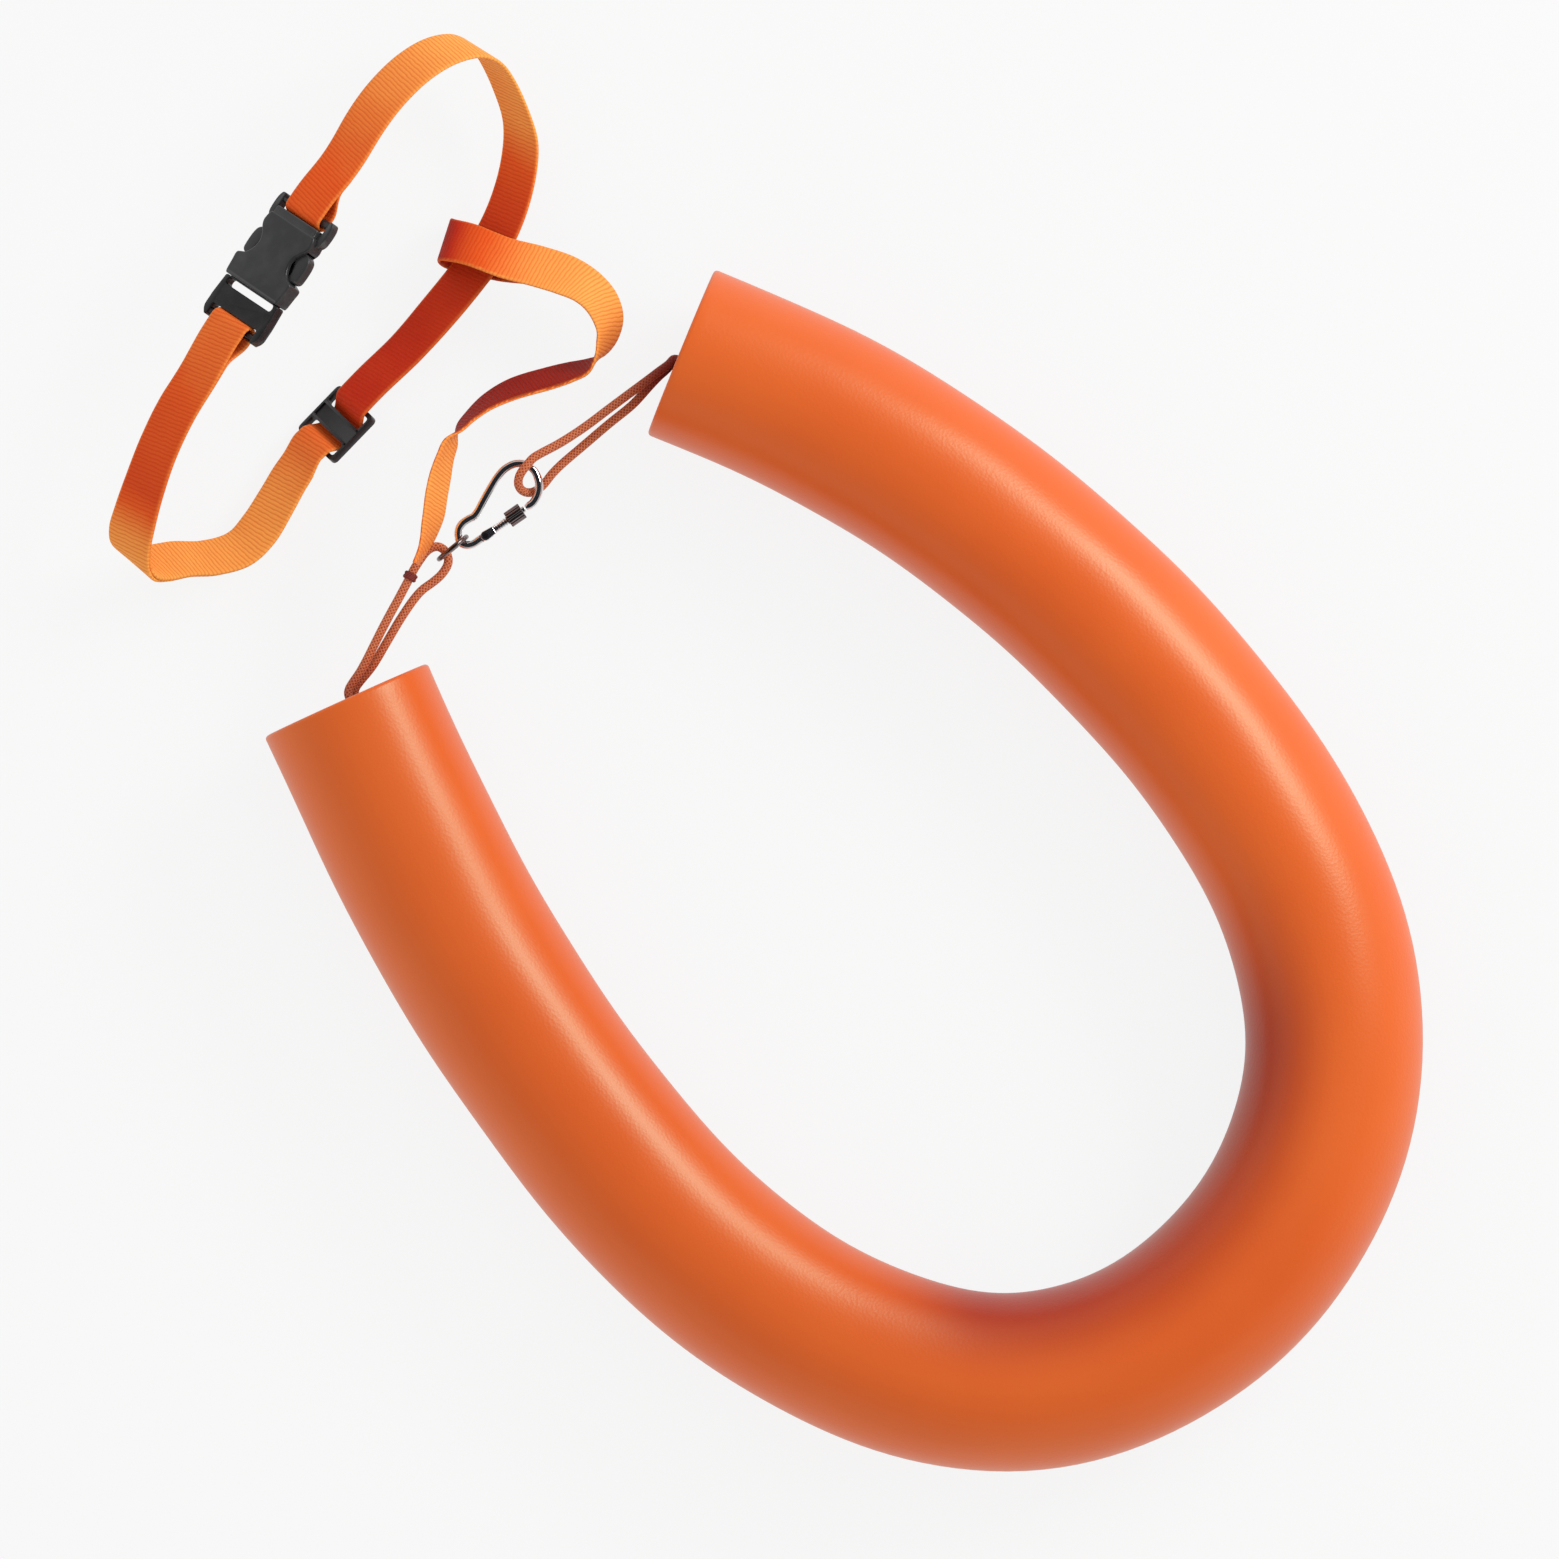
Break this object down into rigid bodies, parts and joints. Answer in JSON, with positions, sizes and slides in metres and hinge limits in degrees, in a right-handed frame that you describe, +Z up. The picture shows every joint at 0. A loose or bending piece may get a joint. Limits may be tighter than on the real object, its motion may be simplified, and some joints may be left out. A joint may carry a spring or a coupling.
{
  "type": "swim belt",
  "caption": "Open swim belt: a U of foam tube closed by a cord, a screw-lock snap hook and a link ring, with a tether strap to an adjustable waist belt.",
  "frame": {"origin": "on the floor, under the middle of the bounding box", "axes": "+Y from the tube's open ends towards its bend, +Z up out of the plane that the tube lies in, +X towards the tube end with the plain cord loop"},
  "size_m": [0.3556, 0.6064, 0.0692],
  "materials": {
    "foam": "satin closed-cell foam skin",
    "cord": "braided cord",
    "webbing": "ribbed webbing",
    "band": "stitched band",
    "black_plastic": "satin moulded plastic",
    "bright_steel": "polished",
    "dark_steel": "fluted and polished"
  },
  "bodies": {
    "float": {"foam_tube": "foam", "bore_cord_upper": "cord", "bore_cord_lower": "cord", "cord_sleeve": "bright_steel", "snap_side_cord": "cord", "plain_side_cord": "cord", "belt_strap": "webbing", "slider_strap": "webbing", "hip_strap": "webbing", "plug_strap": "webbing", "strap_tail": "webbing", "tether_strap": "webbing", "tether_band": "band", "buckle_socket": "black_plastic", "link_ring": "bright_steel"},
    "plug": {"buckle_plug": "black_plastic"},
    "left_prong": {"prong_left": "black_plastic"},
    "right_prong": {"prong_right": "black_plastic"},
    "length_slider": {"slider": "black_plastic"},
    "snap": {"snap_body": "bright_steel", "gate_pin": "bright_steel"},
    "gate": {"snap_gate": "bright_steel", "gate_spring": "bright_steel"},
    "nut": {"lock_nut": "dark_steel"}
  },
  "joints": [
    {"name": "buckle_release", "type": "slide", "parent": "float", "child": "plug", "axis": [0.9823, 0.1874, 0], "range_m": [0, 0.026], "deforming": ["plug_strap", "prong_left", "prong_right"]},
    {"name": "prong_left_squeeze", "type": "hinge", "parent": "plug", "child": "left_prong", "pos_m": [-0.00008, -0.28342, 0.04434], "axis": [-0.1154, 0.6048, -0.788], "range_deg": [0, 12], "stiffness_Nm_per_rad": 0.5},
    {"name": "prong_right_squeeze", "type": "hinge", "parent": "plug", "child": "right_prong", "pos_m": [-0.0028, -0.26917, 0.05566], "axis": [0.1154, -0.6048, 0.788], "range_deg": [0, 12], "stiffness_Nm_per_rad": 0.5},
    {"name": "slider_shift", "type": "slide", "parent": "float", "child": "length_slider", "axis": [0.9999, 0.014, 0], "range_m": [-0.008, 0.008], "deforming": ["slider_strap"]},
    {"name": "snap_swing", "type": "hinge", "parent": "float", "child": "snap", "pos_m": [0.00995, -0.15065, 0.0345], "axis": [0, 0, 1], "range_deg": [-12, 12], "deforming": ["snap_side_cord"]},
    {"name": "gate_swing", "type": "hinge", "parent": "snap", "child": "gate", "pos_m": [0.00436, -0.14525, 0.0345], "axis": [0, 0, 1], "range_deg": [0, 25], "stiffness_Nm_per_rad": 0.08, "springref_deg": -11.46, "deforming": ["gate_spring"]},
    {"name": "nut_travel", "type": "slide", "parent": "gate", "child": "nut", "axis": [-0.9833, 0.1822, 0], "range_m": [-0.006, 0]}
  ]
}
